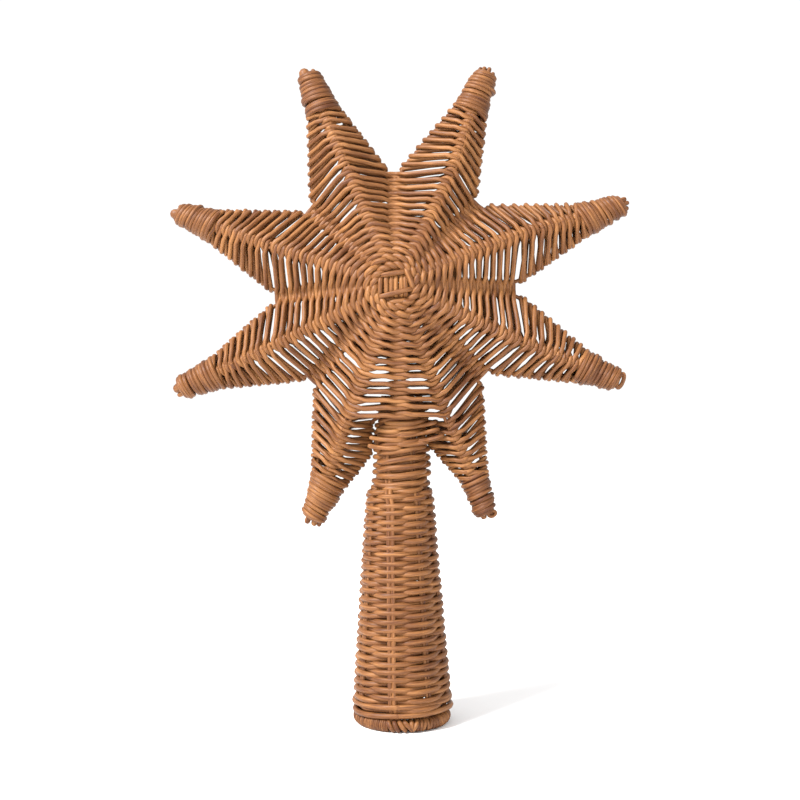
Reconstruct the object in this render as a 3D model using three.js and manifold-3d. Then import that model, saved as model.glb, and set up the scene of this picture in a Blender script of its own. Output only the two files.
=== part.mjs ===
// Rattan star tree topper: a hollow woven star with eight arms on a tapered woven sleeve.
// Millimetres, +Z up. The origin is on the sleeve's axis, on the surface that the foot stands on.
// The star lies in the XZ plane, with its front towards -Y.

import * as THREE from 'three';
import { mergeVertices } from 'three/addons/utils/BufferGeometryUtils.js';
import Module from 'manifold-3d';

// Star outline
const armCount = 8;
const starReach = 123.4; // centre to the end of an arm
const notchRadius = 60.3; // centre to the notch between two arms
const armEndRadius = 98.5; // where an arm's weave stops and its binding starts
const armEndHalfWidth = 8.4;
const edgeHalfThickness = 2.6; // an arm's side edge, where front and back weave meet
const starCentreHeight = 215.1;
const starSideShift = -1.5; // the star sits a little to the left of the sleeve's axis

// How far each hand-woven arm is turned from the regular star, in degrees, and how much longer it is
const armTurn = [-0.9, 0.6, -0.4, 1.8, 0.8, 1.8, -0.3, 1];
const armExtra = [1.2, -0.4, 0.4, -0.6, 0.4, 1.4, -1, -1.4];

// The same for the notch after each arm
const notchTurn = [3.5, 1.8, 0.3, 0.2, -0.8, 0, 1.7, 2.5];
const notchExtra = [-1.5, -1.2, 0, -0.6, -0.8, 0, -2.5, -2.5];

// Star depth, from the middle plane
const apexHalfDepth = 27.5;
const armEndHalfDepth = 9.4;
const ridgeBow = 1.15; // over 1 lets the ridges belly out a little
const valleyBow = 1.25;

// Weave of the star
const starWall = 4;
const starRowPitch = 4;
const rowCrest = 0.9; // how far a row stands out of the surface
const rowGroove = 0.7; // how far the groove between two rows is sunk
const hollowEdge = 0.8; // half thickness of the hollow's thin edge
const hollowShare = 0.85; // how far the hollow reaches from the notches to the arms' ends
const hollowRowShares = [0.3, 0.65, 1]; // its rows between the centre and its notches
const hollowRingShare = 0.45; // its middle ring in an arm

// Crossed stakes in the star's centre
const centreRadius = 8.6;
const centreStakeCount = 5;
const centreStakeSpacing = 3;
const centreStakeLength = 12.5;
const centreStakeDiameter = 2.4;
const centreStakeSides = 6;
const centreFrameHeight = 9.6; // between the two cross strands that hold the stakes
const centreFrameLength = 17;

// Sleeve
const sleeveTopBelowCentre = 52; // how far its top end stops below the star's centre
const sleeveMouthRadius = 25.2;
const sleeveLipStep = 0.8; // how far the thick lowest row stands out
const shoulderHeight = 116.5; // the sleeve steps in here
const shoulderRadius = 16.4;
const neckRadius = 14.2;
const sleeveTopRadius = 13.1;
const sleeveRowPitch = 4.2;
const sleeveGroove = 1.4;
const sleeveStakes = 8;
const sleeveStakeBulge = 0.45;
const sleeveWall = 4;

// Foot border
const footOuterRadius = 24.4;
const footHeight = 6.2;
const footWidth = 6.4;
const footFlatWidth = 3.2;
const footSteps = 5; // facets of the section's rounded part
const footOverhang = 0.18; // half circles that this part goes on below its middle, on both sides
const footMiddle = 0.55; // height of its middle, as a share of the foot's
const footWraps = 22;
const footWrapDepth = 0.5;
const footWrapLean = 2; // radians of a wrap's course that it leans by
const footWrapFade = 0.5; // share of the height below which the wraps flatten out

// Arm bindings
const bindingTurns = 5;
const bindingGroove = 0.5;
const bindingEndRadius = 5.6;
const knobLength = 4.5;
const knobSteps = [[0.93, 0.45], [0.6, 0.85]]; // shares of its radius and of its length
const bindingSides = 7;

// Clearance between two pieces that touch
const fitGap = 0.3;

const wasm = await Module();
wasm.setup();

const { lerp, degToRad } = THREE.MathUtils;
const point = (x, y) => new THREE.Vector2(x, y);

// Mesh helpers

function closedMesh(geometry) {
  geometry.deleteAttribute('normal');
  geometry.deleteAttribute('uv');
  return mergeVertices(geometry);
}

function toSolid(geometry) {
  const merged = closedMesh(geometry);
  const mesh = new wasm.Mesh({
    numProp: 3,
    vertProperties: new Float32Array(merged.attributes.position.array),
    triVerts: new Uint32Array(merged.index.array),
  });
  return new wasm.Manifold(mesh);
}

function toGeometry(solid) {
  const mesh = solid.getMesh();
  const geometry = new THREE.BufferGeometry();
  geometry.setAttribute('position', new THREE.BufferAttribute(mesh.vertProperties, 3));
  geometry.setIndex(new THREE.BufferAttribute(mesh.triVerts, 1));
  return geometry;
}

// A profile of points (radius, height), upwards on the outside, turned about Z.
function turned(profile, sides) {
  return new THREE.LatheGeometry(profile, sides).rotateX(Math.PI / 2);
}

// Moves each vertex outwards from Z by bulge(angle, radius, height).
function bulged(geometry, bulge) {
  const { position } = geometry.attributes;
  for (let i = 0; i < position.count; i += 1) {
    const x = position.getX(i);
    const y = position.getY(i);
    const radius = Math.hypot(x, y);
    if (radius > 0.001) {
      const factor = 1 + bulge(Math.atan2(y, x), radius, position.getZ(i)) / radius;
      position.setXY(i, x * factor, y * factor);
    }
  }
  return geometry;
}

// Star

const armSpacing = 360 / armCount;
const bottomValley = Math.round(3 * armCount / 4) - 1; // the valley that the sleeve runs into

function armAngle(arm) {
  return degToRad(armSpacing * (arm + 0.5) + (armTurn[arm % armCount] ?? 0));
}

function valleyAngle(valley) {
  return (armAngle(valley) + armAngle(valley + 1)) / 2 + degToRad(notchTurn[valley] ?? 0);
}

function valleyDistance(distance, valley) {
  return distance * (1 + (notchExtra[valley] ?? 0) / notchRadius);
}

function ridgeHalfDepth(distance) {
  return lerp(apexHalfDepth, armEndHalfDepth, (distance / armEndRadius) ** ridgeBow);
}

// The bottom valley stays deep, because it takes in the sleeve's top end.
function valleyHalfDepth(distance, valley) {
  const share = distance / notchRadius;
  if (valley === bottomValley) {
    return lerp(apexHalfDepth, sleeveTopRadius + starWall, share);
  }
  return lerp(apexHalfDepth, edgeHalfThickness, share ** valleyBow);
}

// Rows are round near the centre, and straight from ridge to ridge at the notches.
function ridgeDistance(distance) {
  const straight = 1 / Math.cos(degToRad(armSpacing / 2));
  return distance * lerp(1, straight, distance / notchRadius);
}

function inStar(angle, distance, depth) {
  return new THREE.Vector3(distance * Math.cos(angle), depth, distance * Math.sin(angle));
}

// One row, from the ridge of the first arm round through each valley and ridge.
function rowPoints(side, { distance, lift }, inset) {
  const points = [];
  for (let arm = 0; arm < armCount; arm += 1) {
    const ridge = ridgeDistance(distance);
    const raise = lift - inset;
    points.push(inStar(armAngle(arm), ridge, side * (ridgeHalfDepth(ridge) + raise)));
    const valleyDepth = side * (valleyHalfDepth(distance, arm) + raise);
    points.push(inStar(valleyAngle(arm), valleyDistance(distance, arm), valleyDepth));
  }
  return points;
}

// One ring round an arm, with the corners of its root: front ridge, two on the left edge,
// back ridge, two on the right edge. The ring's share runs from 0 at the root to 1 at the end.
function ringPoints(arm, root, { share, lift }, inset) {
  const angle = armAngle(arm);
  const across = inStar(angle + Math.PI / 2, 1, 0);
  const ridge = lerp(root[0].length2d, armEndRadius, share);
  const ridgeDepth = ridgeHalfDepth(ridge) + lift - inset;
  const edgeDepth = Math.max(edgeHalfThickness - inset, hollowEdge);
  return root.map(({ start, hand, side }) => {
    if (hand === 0) {
      return inStar(angle, ridge, side * ridgeDepth);
    }
    const end = inStar(angle, armEndRadius, 0);
    end.addScaledVector(across, hand * (armEndHalfWidth - inset));
    const vertex = start.clone().lerp(end, share).addScaledVector(across, hand * lift);
    const thinning = Math.min(1, 2 * share);
    return vertex.setY(side * lerp(Math.abs(start.y), edgeDepth, thinning));
  });
}

// A closed skin round the star: rows from the centre to the notches, then rings out along each arm.
// The lift of a row or ring is how far it stands out. The inset is 0 outside, or the wall inside.
function starSkin(rows, rings, inset) {
  const vertices = [];
  const triangles = [];
  const add = (vertex) => vertices.push(vertex) - 1;
  const quad = (a, b, c, d) => triangles.push(a, b, c, a, c, d);
  const corners = 2 * armCount;

  const [front, back] = [-1, 1].map((side) => {
    const apex = add(inStar(0, 0, side * (apexHalfDepth + rows[0].lift - inset)));
    const points = rows.map((row) => rowPoints(side, row, inset).map(add));
    for (let i = 0; i < corners; i += 1) {
      const [a, b] = side < 0 ? [i, (i + 1) % corners] : [(i + 1) % corners, i];
      triangles.push(apex, points[0][a], points[0][b]);
      for (let row = 1; row < points.length; row += 1) {
        quad(points[row - 1][a], points[row][a], points[row][b], points[row - 1][b]);
      }
    }
    return points[points.length - 1];
  });

  for (let arm = 0; arm < armCount; arm += 1) {
    const left = 2 * arm + 1;
    const right = (2 * arm + corners - 1) % corners;
    let previous = [front[2 * arm], front[left], back[left], back[2 * arm], back[right], front[right]];
    const root = previous.map((index, corner) => ({
      start: vertices[index],
      length2d: Math.hypot(vertices[index].x, vertices[index].z),
      hand: [0, 1, 1, 0, -1, -1][corner],
      side: [-1, -1, 1, 1, 1, -1][corner],
    }));
    for (const ring of rings) {
      const points = ringPoints(arm, root, ring, inset).map(add);
      points.forEach((index, corner) => {
        const next = (corner + 1) % points.length;
        quad(previous[corner], index, points[next], previous[next]);
      });
      previous = points;
    }
    for (let corner = 1; corner < previous.length - 1; corner += 1) {
      triangles.push(previous[0], previous[corner + 1], previous[corner]);
    }
  }

  const geometry = new THREE.BufferGeometry().setFromPoints(vertices);
  geometry.setIndex(triangles);
  return geometry;
}

function outerStar() {
  const rowCount = Math.round((notchRadius - centreRadius) / starRowPitch);
  const rows = [];
  for (let i = 0; i <= 2 * rowCount; i += 1) {
    const distance = lerp(centreRadius, notchRadius, i / (2 * rowCount));
    rows.push({ distance, lift: i % 2 === 0 ? rowCrest : -rowGroove });
  }
  const ringCount = Math.round((armEndRadius - ridgeDistance(notchRadius)) / starRowPitch);
  const rings = [];
  for (let i = 1; i <= 2 * ringCount; i += 1) {
    rings.push({ share: i / (2 * ringCount), lift: i % 2 === 0 ? rowCrest : -rowGroove });
  }
  return toSolid(starSkin(rows, rings, 0));
}

// The hollow stops short of the notches where the wall leaves only a thin slot.
function starHollow() {
  const slot = (apexHalfDepth - starWall - hollowEdge) / (apexHalfDepth - edgeHalfThickness);
  const hollowNotch = notchRadius * slot ** (1 / valleyBow);
  const rows = hollowRowShares.map((share) => ({ distance: hollowNotch * share, lift: 0 }));
  const rings = [hollowRingShare, hollowShare].map((share) => ({ share, lift: 0 }));
  return toSolid(starSkin(rows, rings, starWall));
}

// Rods that cross in the star's centre, on the front or the back.
function centreStakes(side) {
  const rod = (length) => {
    const radius = centreStakeDiameter / 2;
    const geometry = new THREE.CylinderGeometry(radius, radius, length, centreStakeSides);
    return geometry.rotateY(Math.PI / centreStakeSides);
  };
  const depth = side * apexHalfDepth;
  const solids = [];
  for (let i = 0; i < centreStakeCount; i += 1) {
    const x = centreStakeSpacing * (i - (centreStakeCount - 1) / 2);
    solids.push(toSolid(rod(centreStakeLength).rotateX(Math.PI / 2).translate(x, depth, 0)));
  }
  for (const hand of [-1, 1]) {
    const strand = rod(centreFrameLength).rotateZ(Math.PI / 2);
    strand.translate(0, depth + side * rowCrest, hand * centreFrameHeight / 2);
    solids.push(toSolid(strand));
  }
  return solids;
}

// Sleeve

const sleeveTop = starCentreHeight - sleeveTopBelowCentre;
const sleeveBottom = footHeight + fitGap;

function sleeveRadius(height) {
  if (height > shoulderHeight) {
    return lerp(neckRadius, sleeveTopRadius, (height - shoulderHeight) / (sleeveTop - shoulderHeight));
  }
  return lerp(sleeveMouthRadius, shoulderRadius, (height - sleeveBottom) / (shoulderHeight - sleeveBottom));
}

function sleeveRows(bottom, top) {
  const count = Math.round((top - bottom) / sleeveRowPitch);
  const pitch = (top - bottom) / count;
  const profile = [];
  for (let i = 0; i < count; i += 1) {
    const groove = bottom + i * pitch;
    const crest = groove + pitch / 2;
    const lip = groove === sleeveBottom ? sleeveLipStep : 0;
    profile.push(point(sleeveRadius(groove + fitGap) - sleeveGroove, groove));
    profile.push(point(sleeveRadius(crest) + lip, crest));
  }
  return profile;
}

function sleeve() {
  const profile = [
    ...sleeveRows(sleeveBottom, shoulderHeight),
    ...sleeveRows(shoulderHeight, sleeveTop),
    point(sleeveTopRadius - sleeveGroove, sleeveTop),
    point(sleeveTopRadius - sleeveWall, sleeveTop),
    point(neckRadius - sleeveWall, shoulderHeight),
    point(shoulderRadius - sleeveWall, shoulderHeight - sleeveRowPitch),
    point(sleeveMouthRadius - sleeveWall, sleeveBottom),
  ];
  profile.push(profile[0].clone());
  const sides = 2 * sleeveStakes;
  return bulged(turned(profile, sides), (angle, radius, height) => {
    const outside = radius > sleeveRadius(height) - sleeveWall + fitGap;
    return outside ? sleeveStakeBulge * Math.cos(sleeveStakes * angle) : 0;
  });
}

// The room that the star leaves for the sleeve's top end.
function sleevePassage() {
  const reach = sleeveStakeBulge + fitGap;
  const low = starCentreHeight - starReach;
  const mid = shoulderHeight + sleeveRowPitch;
  const profile = [
    point(0, low),
    point(sleeveRadius(low) + reach, low),
    point(sleeveRadius(shoulderHeight) + reach, mid),
    point(neckRadius + reach, mid + sleeveRowPitch),
    point(sleeveTopRadius + reach, sleeveTop + 2 * fitGap),
    point(0, sleeveTop + 2 * fitGap),
  ];
  return toSolid(turned(profile, 2 * sleeveStakes).translate(-starSideShift, 0, -starCentreHeight));
}

function star() {
  let solid = outerStar();
  for (const stake of [...centreStakes(-1), ...centreStakes(1)]) {
    solid = solid.add(stake);
  }
  return toGeometry(solid.subtract(starHollow()).subtract(sleevePassage()));
}

// Foot border: a ring closely wrapped with thin cane, flat underneath

function footBorder() {
  const middle = footOuterRadius - footWidth / 2;
  const round = [];
  for (let i = 0; i <= footSteps; i += 1) {
    const turn = Math.PI * lerp(-footOverhang, 1 + footOverhang, i / footSteps);
    const height = footHeight * (footMiddle + (1 - footMiddle) * Math.sin(turn));
    round.push(point(middle + footWidth / 2 * Math.cos(turn), height));
  }
  const profile = [
    point(middle + footFlatWidth / 2, 0),
    ...round,
    point(middle - footFlatWidth / 2, 0),
  ];
  profile.push(profile[0].clone());
  return bulged(turned(profile, 2 * footWraps), (angle, radius, height) => {
    const share = height / footHeight;
    const wrap = Math.cos(footWraps * angle + footWrapLean * share);
    const outwards = Math.sign(radius - middle);
    return outwards * footWrapDepth * wrap * Math.min(1, share / footWrapFade);
  });
}

// Arm binding: a tapered winding that closes an arm's end, with a rounded knob

function armBinding(arm) {
  const length = starReach + (armExtra[arm] ?? 0) - armEndRadius - fitGap;
  const wound = length - knobLength;
  const pitch = wound / bindingTurns;
  const radiusAt = (height) => lerp(armEndHalfWidth + rowCrest, bindingEndRadius, height / wound);
  const profile = [point(0, 0)];
  for (let turn = 0; turn < bindingTurns; turn += 1) {
    const start = turn * pitch;
    profile.push(point(radiusAt(start) - bindingGroove, start));
    profile.push(point(radiusAt(start + pitch / 2), start + pitch / 2));
  }
  profile.push(point(radiusAt(wound) - bindingGroove, wound));
  for (const [radiusShare, lengthShare] of knobSteps) {
    profile.push(point(bindingEndRadius * radiusShare, wound + knobLength * lengthShare));
  }
  profile.push(point(0, length));
  const geometry = new THREE.LatheGeometry(profile, bindingSides);
  const depthFactor = armEndHalfDepth / armEndHalfWidth;
  return geometry.scale(1, 1, depthFactor).rotateZ(-Math.PI / 2).rotateX(Math.PI / 2);
}

// Assembly

const weave = new THREE.MeshStandardMaterial({ color: 0xb87d50, roughness: 0.55, metalness: 0 });
const sleeveWeave = new THREE.MeshStandardMaterial({ color: 0xb67a4c, roughness: 0.55, metalness: 0 });
const binding = new THREE.MeshStandardMaterial({ color: 0xbe8757, roughness: 0.5, metalness: 0 });

function part(name, geometry, material) {
  const mesh = new THREE.Mesh(geometry, material);
  mesh.name = name;
  return mesh;
}

const topper = new THREE.Group();
const starGroup = new THREE.Group();
starGroup.position.set(starSideShift, 0, starCentreHeight);
starGroup.add(part('star', star(), weave));
for (let arm = 0; arm < armCount; arm += 1) {
  const pivot = new THREE.Group();
  pivot.rotation.y = -armAngle(arm);
  const wound = part(`tip_binding_${arm + 1}`, closedMesh(armBinding(arm)), binding);
  wound.position.x = armEndRadius + fitGap;
  pivot.add(wound);
  starGroup.add(pivot);
}
topper.add(starGroup);
topper.add(part('socket_tube', closedMesh(sleeve()), sleeveWeave));
topper.add(part('foot_border', closedMesh(footBorder()), binding));

export default topper;
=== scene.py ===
"""Rattan star tree topper: a hollow star of twined rattan strands on a woven sleeve with a whipped foot.

Everything is in metres, +Z up, in the frame of the solid model. The star's front looks towards -Y.
"""

import math

import bpy
import numpy as np
from bpy.props import (
    FloatProperty,
    FloatVectorProperty,
    IntProperty,
    PointerProperty,
)
from bpy.types import Operator, Panel, PropertyGroup
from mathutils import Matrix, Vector


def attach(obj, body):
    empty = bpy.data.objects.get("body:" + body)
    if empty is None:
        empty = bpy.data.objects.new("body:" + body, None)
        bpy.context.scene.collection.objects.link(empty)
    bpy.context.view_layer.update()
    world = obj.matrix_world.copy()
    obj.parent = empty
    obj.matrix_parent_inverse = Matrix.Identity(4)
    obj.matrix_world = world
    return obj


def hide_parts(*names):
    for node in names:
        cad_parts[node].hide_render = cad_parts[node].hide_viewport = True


bl_info = {
    "name": "Rattan Star Topper",
    "version": (1, 0, 0),
    "blender": (4, 5, 0),
    "location": "View3D > Sidebar > Topper",
    "description": "Weaves a rattan star, its sleeve, its foot and the bindings of its arms",
    "category": "Add Mesh",
}

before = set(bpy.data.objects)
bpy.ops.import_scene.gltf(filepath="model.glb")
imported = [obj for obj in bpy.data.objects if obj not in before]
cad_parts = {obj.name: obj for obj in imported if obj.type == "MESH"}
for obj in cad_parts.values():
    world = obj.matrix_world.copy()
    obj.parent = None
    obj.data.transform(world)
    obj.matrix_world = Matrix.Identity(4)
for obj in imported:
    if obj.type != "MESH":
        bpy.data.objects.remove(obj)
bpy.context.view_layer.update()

MM = 0.001
TURN = 2 * math.pi
FRONT, BACK = -1, 1

# The star. Arms are counted anticlockwise from the right, and each valley follows its arm
ARMS = 8
BOTTOM_VALLEY = 5
WAVES = (1, 2, 3, 5, 8, 13, 21, 34)  # waves that a row's irregularity is made of, along its course
SHORTEST_WAVE = 24 * MM
BACK_WAVE = 17 * MM  # how soon the back rows fall behind and catch up again
STRAY_SPAN = 100 * MM  # length along which a line's irregularity is measured, if nothing else is given
QUARTER_TURNS = (-0.27, 0.27)  # places of a crossing's two quarter turns, as shares of its width
QUARTER_WIDTH = 0.46
EDGE_CROSSING = 2.4  # width of a crossing on an arm's edge, as a number of the ring's corners
BEND_REACH = 3  # points on each side of a corner over which its bend is rounded
STAKE_DEPTH = 1.7 * MM  # how far the stakes lie under the middle of the weave
STAKE_RODS = (-0.55, 0.55)  # places of a double stake's rods, in thicknesses
BINDING_HOLD = 14 * MM  # how far the stakes reach into an arm's binding
NOTCH_STRANDS = (-3.0, -1.0, 1.0, 3.0)  # places of the strands across a notch, in millimetres
# The rods in the star's centre, in millimetres: place across, and lean of the far end
CROSS_RODS = ((-4.5, -0.3), (-2.3, 0.2), (0.0, -0.1), (2.5, 0.3), (4.6, -0.2))
# The strands over them, in millimetres: x and z of both ends, depth under the apex, and thickness
CROSS_STRANDS = (
    (-8.0, 4.6, 5.6, 6.6, 1.0, 2.5),
    (-9.0, -6.0, 8.6, -1.6, 0.9, 2.5),
    (-8.0, -5.6, -7.4, 4.6, 1.9, 2.5),
    (-11.0, -5.4, -10.4, 5.6, 2.6, 2.5),
    (4.6, 8.4, 8.8, -1.8, 1.3, 2.9),
    (-4.0, -8.4, 6.0, -7.4, 2.0, 2.6),
)

# The sleeve
SLEEVE_CREST = 1.1 * MM  # how far the sleeve's strands stand out of its mean surface
SLEEVE_TONES = (0.3, 0.42)  # the tone of each of its two strands
SLEEVE_POINTS = 64  # points of a strand's line in one turn
# How far a stake lies out of the middle of the weave, the thickness of its rods, and how far it is
# off its place at the mouth, at the shoulder and in the neck, all in millimetres
PLAIN_STAKE = (0.5, 1.9, (0.0, 0.0, 0.0))
SLEEVE_STAKES = {
    0: (0.5, 1.9, (0.0, 0.0, -4.5)),
    1: (1.15, 2.3, (1.7, -0.2, -5.4)),
    2: (0.2, 1.8, (1.8, 1.2, 0.0)),
}
STAKE_SUNK = -2.2  # how far out the stakes lie at their foot, in millimetres
NECK_FRONT = (math.radians(3), math.radians(142))  # middle and width of the neck's front strands
# Strands that tie the neck to the arms: x and z of both ends, in millimetres
NECK_LACES = (
    (0.5, 157.4, 14.6, 159.4),
    (-9.4, 154.4, 5.8, 155.2),
    (-6.8, 150.6, 13.0, 151.6),
    (-2.4, 147.6, 18.6, 151.0),
    (-11.0, 147.2, 0.8, 146.8),
    (-1.8, 143.9, 20.0, 147.6),
    (-14.6, 143.2, 3.6, 142.4),
    (8.6, 141.6, 22.0, 144.6),
    (-15.4, 139.2, 1.4, 138.4),
    (-1.6, 139.9, 14.0, 141.3),
)

# The foot ring's thick wraps: where they start and end, and each one's place in degrees and its
# slant. The coarse wraps follow them to the right, and the fine ones take the rest of the ring
FOOT_THICK_STRETCH = (math.radians(-13.5), math.radians(20))
FOOT_COARSE_END = math.radians(170)
FOOT_THICK_WRAPS = ((-10.8, 0.06), (-4.0, 0.05), (3.4, 0.07), (11.2, 0.1), (14.6, 0.0), (18.6, -0.06))

# The bindings of the arms' ends
CLOSING_TURNS = 2.4  # turns of cane that close the knob
WINDING_POINTS = 20  # points of the cane's line in one turn
# Short ends in each arm's tip, in millimetres: start and end before the tip, place across, thickness
ARM_ENDS = (
    ((26, 0.6, 1.8, 2.6), (26, 0.0, -0.4, 2.4), (26, 1.2, -2.8, 2.6)),
    ((26, 0.6, 1.4, 2.8), (26, 0.0, -1.0, 2.6), (26, 1.6, -3.6, 2.4), (26, 1.5, 3.2, 2.2)),
    ((26, 0.0, 1.4, 6.2), (26, 1.8, -3.2, 2.6)),
    ((26, 0.0, 1.2, 5.6), (26, 2.6, -3.0, 3.2)),
    ((26, 0.2, -0.8, 5.6), (26, 0.8, 2.6, 2.6)),
    ((26, 0.4, 1.6, 3.4), (26, 0.2, -2.0, 3.2), (26, 0.9, 4.2, 2.4)),
    ((26, 0.0, 2.2, 3.8), (26, 1.0, -1.8, 3.4)),
    ((26, 2.4, 0.8, 3.8), (26, 2.4, -2.2, 3.4)),
)
# Loops of cane across two arms' ends, in millimetres: place before the tip and across, half sizes
# along and across, thickness
ARM_LOOPS = {6: (2.3, 2.6, 1.3, 1.9, 1.7), 7: (2.2, 0.2, 1.3, 3.7, 2.1)}

STRAND_TREE = "Round strands"
STRANDS_APART = 37.0  # how far apart two strands lie in the grain's pattern, in metres for a full tone
# The finishes: how much rougher than the plain skin, and how much darker and redder. The cane's darkening
# is painted shade, standing in for the shade in the grooves between its turns
FINISHES = {"Rattan core": (0.0, 0.0), "Rattan stake": (0.06, 0.05), "Rattan cane": (0.02, 0.07)}
# How the grain's pattern is stretched along and across a strand, for its fibres and its patches
FIBRE_STRETCH, PATCH_STRETCH = (75.0, 1.5, 1.5), (34.0, 0.7, 0.7)
# How much each pattern adds to the place on the colour ramp, and what is taken off their sum
TONE_WEIGHT, PATCH_WEIGHT, FIBRE_WEIGHT, BLOTCH_WEIGHT, RAMP_OFFSET = 0.2, 0.62, 0.98, 0.36, 0.55


def length(name, description, millimetres):
    """A size that a user may change, given in millimetres."""
    return FloatProperty(
        name=name, description=description, default=millimetres * MM, unit="LENGTH", precision=5
    )


def share(name, description, default):
    """A plain number without a unit."""
    return FloatProperty(name=name, description=description, default=default, precision=3)


def colour(name, description, default):
    """A colour that a user may change."""
    return FloatVectorProperty(
        name=name, description=description, default=default, subtype="COLOR", size=3, min=0, max=1
    )


class RattanSizes(PropertyGroup):
    """Sizes of the strands and of the stakes that they are woven on."""

    strand: length("Strand", "Thickness of a strand in the star", 2.3)
    sleeve_strand: length("Sleeve strand", "Thickness of a strand in the sleeve", 2.85)
    stake: length("Stake", "Thickness of a single stake, beside a valley", 1.9)
    thin_stake: length("Thin stake", "Thickness of each rod of a double stake", 1.9)
    stand: length("Stand", "How far a strand stands off the middle of the weave", 1.2)
    ridge_sway: length("Ridge sway", "How far a pair parts where it crosses on a ridge", 1.05)
    valley_sway: length("Valley sway", "How far a pair parts where it crosses in a valley", 0.85)
    edge_sway: length("Edge sway", "How far a pair parts where it crosses on an arm's edge", 1.2)
    turn: length("Turn", "Length along which a pair changes places", 12.5)
    fattening: share("Fattening", "How much thicker the strands are in the star's centre", 0.28)
    wobble: length("Wobble", "How far a row strays from its course", 0.3)
    step: length("Step", "Distance between two points of a strand's line", 1.25)
    swell: share("Swell", "How much a strand's thickness varies", 0.1)
    sides: IntProperty(name="Sides", description="Sides of a strand's section", default=8, min=4)
    seed: IntProperty(name="Seed", description="Seed of the irregularities", default=11)


class StarSizes(PropertyGroup):
    """Sizes of the star. Its outline, depth and rows are those of the solid model."""

    reach: length("Reach", "Centre to the end of an arm", 123.4)
    notch: length("Notch", "Centre to the notch between two arms", 60.3)
    arm_end: length("Arm end", "Centre to where an arm's binding starts", 98.5)
    end_width: length("End half width", "Half width of an arm where its binding starts", 8.4)
    edge: length("Edge half thickness", "Half thickness of an arm's side edge", 2.6)
    height: length("Height", "Height of the star's centre", 215.1)
    shift: length("Shift", "How far the star sits to the side of the sleeve's axis", -1.5)
    apex: length("Apex half depth", "Half depth of the star in its centre", 27.5)
    end_depth: length("End half depth", "Half depth of an arm where its binding starts", 9.4)
    ridge_bow: share("Ridge bow", "Over 1 lets the ridges belly out", 1.15)
    valley_bow: share("Valley bow", "Over 1 lets the valleys belly out", 1.25)
    crest: length("Crest", "How far a row stands out of the star's mean surface", 0.9)
    pitch: length("Row pitch", "Distance between two rows in a valley", 3.55)
    rings: IntProperty(name="Rings", description="Rings of weave on an arm", default=9, min=2)
    crowding: share("Crowding", "Under 1 lets the rings crowd towards the arm's end", 0.88)
    uneven: length("Uneven", "How far the back rows stray from the front ones", 1.1)
    innermost: length("Innermost row", "Distance of the innermost row from the centre", 9.0)
    centre_aside: length("Centre aside", "How far the weave's centre is off the star's, sideways", 1.0)
    centre_up: length("Centre up", "How far the weave's centre is off the star's, upwards", 2.6)
    turns: FloatVectorProperty(
        name="Arm turns",
        description="How far each arm is turned from the regular star, in degrees",
        size=ARMS,
        default=(-0.9, 0.6, -0.4, 1.8, 0.8, 1.8, -0.3, 1.0),
    )
    extras: FloatVectorProperty(
        name="Arm extras",
        description="How much longer each arm is, in millimetres",
        size=ARMS,
        default=(1.2, -0.4, 0.4, -0.6, 0.4, 1.4, -1.0, -1.4),
    )
    notch_turns: FloatVectorProperty(
        name="Notch turns",
        description="How far the notch after each arm is turned anticlockwise, in degrees",
        size=ARMS,
        default=(3.5, 1.8, 0.3, 0.2, -0.8, 2.0, 1.7, 2.5),
    )
    notch_extras: FloatVectorProperty(
        name="Notch extras",
        description="How much further out each notch is, in millimetres",
        size=ARMS,
        default=(-1.5, -1.2, 0.0, -0.6, -0.8, 0.0, -2.5, -2.5),
    )
    inner_widths: FloatVectorProperty(
        name="Inner widths",
        description="How much wider the two lowest arms are beside the sleeve, in millimetres",
        size=2,
        default=(2.0, -2.6),
    )
    drifts: FloatVectorProperty(
        name="Ridge drifts",
        description="How far each front ridge strays anticlockwise from the arm's middle, in millimetres",
        size=ARMS,
        default=(4.0, -3.8, -1.0, 0.0, 0.0, 0.0, 0.0, 0.0),
    )


class SleeveSizes(PropertyGroup):
    """Sizes of the sleeve."""

    mouth: length("Mouth radius", "Outer radius at the foot", 25.2)
    shoulder_height: length("Shoulder height", "Where the sleeve steps in", 116.5)
    shoulder: length("Shoulder radius", "Outer radius just below the shoulder", 16.4)
    neck: length("Neck radius", "Outer radius just above the shoulder", 14.2)
    top_radius: length("Top radius", "Outer radius at the top end", 12.7)
    top: length("Top", "Height of the top end", 158.0)
    bottom: length("Bottom", "Height at which the winding rows start", 9.55)
    finish_heights: FloatVectorProperty(
        name="Finish heights",
        description="Heights of the two thick rows at the foot, in millimetres",
        size=2,
        default=(8.2, 12.0),
    )
    finish: length("Finish", "Thickness of the two thick rows at the foot", 2.9)
    lean: length("Lean", "How far the sleeve's foot bulges to the right", 1.3)
    neck_lean: length("Neck lean", "How far the neck is to the right of the axis", 0.9)
    sag: length("Sag", "How far the rows sag in front", 0.6)
    pitch: length("Pitch", "Rise of a strand in one turn", 4.05)
    neck_slope: length("Neck slope", "How far the neck's rows rise from the middle to the right", 0.7)
    first_stake: share("First stake", "Angle of the first stake from the front, in degrees", -57.5)
    stakes: IntProperty(name="Stakes", description="Double stakes round the sleeve", default=8)


class FootSizes(PropertyGroup):
    """Sizes of the whipped ring that the sleeve stands on."""

    outer: length("Outer radius", "Outer radius of the ring", 24.6)
    width: length("Width", "Width of the ring's section", 6.6)
    height: length("Height", "Height of the ring", 6.7)
    aside: length("Aside", "How far the ring is to the right of the axis", 1.0)
    fine: length("Fine cane", "Thickness of the fine whipping", 1.15)
    coarse: length("Coarse cane", "Thickness of the coarse whipping", 1.9)
    thick: length("Thick strand", "Thickness of the slanting wraps in front", 2.4)


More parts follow.
